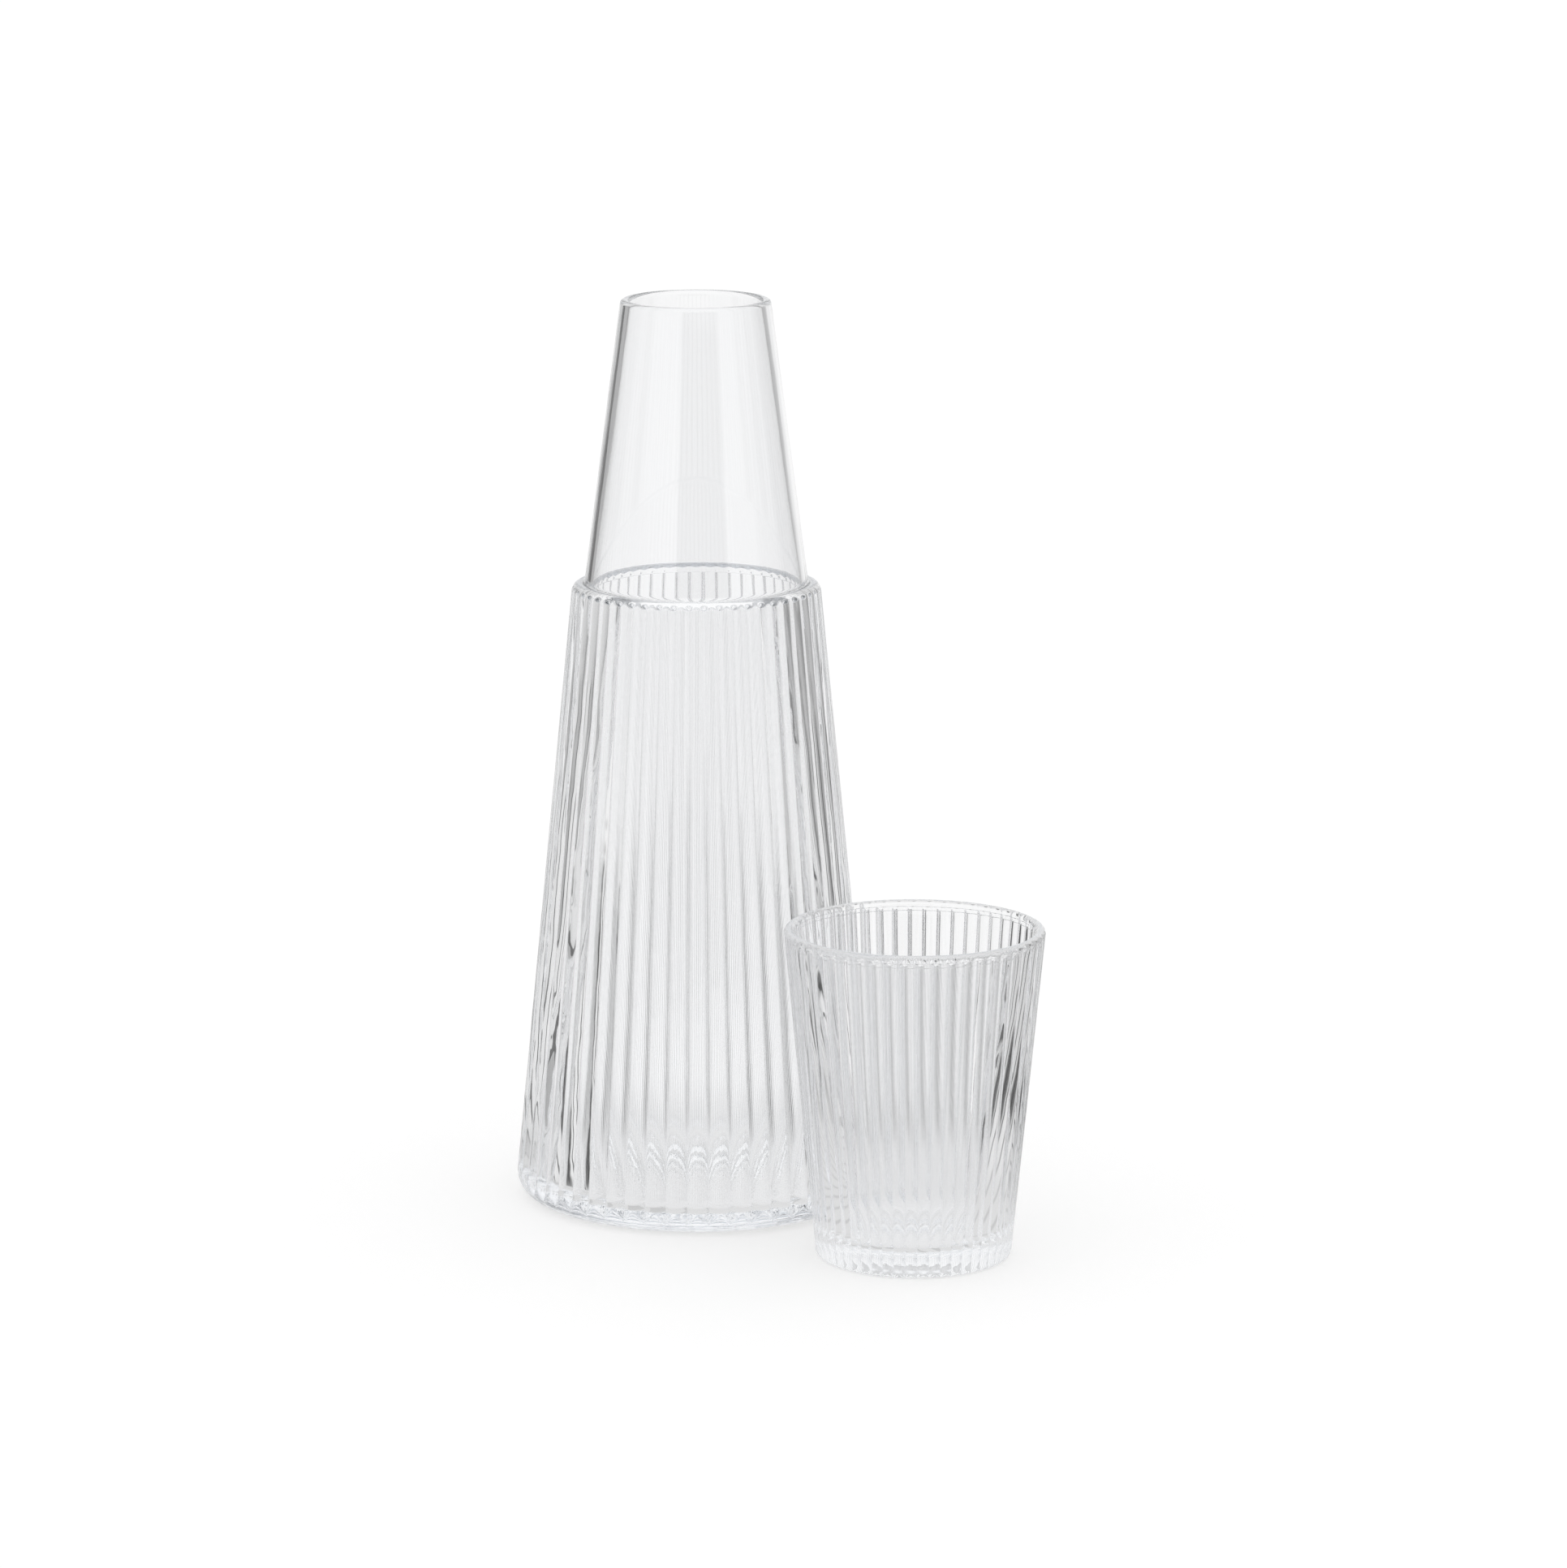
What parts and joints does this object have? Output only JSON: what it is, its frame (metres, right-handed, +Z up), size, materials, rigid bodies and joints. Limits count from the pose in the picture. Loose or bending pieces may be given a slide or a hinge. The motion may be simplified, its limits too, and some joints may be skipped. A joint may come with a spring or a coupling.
{
  "type": "bedside carafe with tumbler",
  "caption": "Clear reeded glass carafe with a plain tapered neck, and a matching reeded tumbler that stands beside it or fits upside down over its neck.",
  "frame": {"origin": "centre of the carafe's foot, on the surface that both pieces stand on", "axes": "+Z up along the carafe's axis, -Y towards the viewer of the picture, +X to that viewer's right, where the tumbler stands"},
  "size_m": [0.1432, 0.1512, 0.25],
  "materials": {
    "carafe_glass": "clear colourless soda-lime glass, fire-polished, with moulded vertical reeds on the body and a plain neck",
    "tumbler_glass": "clear colourless pressed glass with moulded vertical reeds and a plain fire-polished lip"
  },
  "bodies": {
    "carafe": {"carafe": "carafe_glass"},
    "tumbler": {"tumbler": "tumbler_glass"}
  },
  "joints": [
    {"name": "tumbler_lift", "type": "slide", "parent": "carafe", "child": "tumbler", "axis": [0, 0, 1], "range_m": [0, 0.27]}
  ]
}
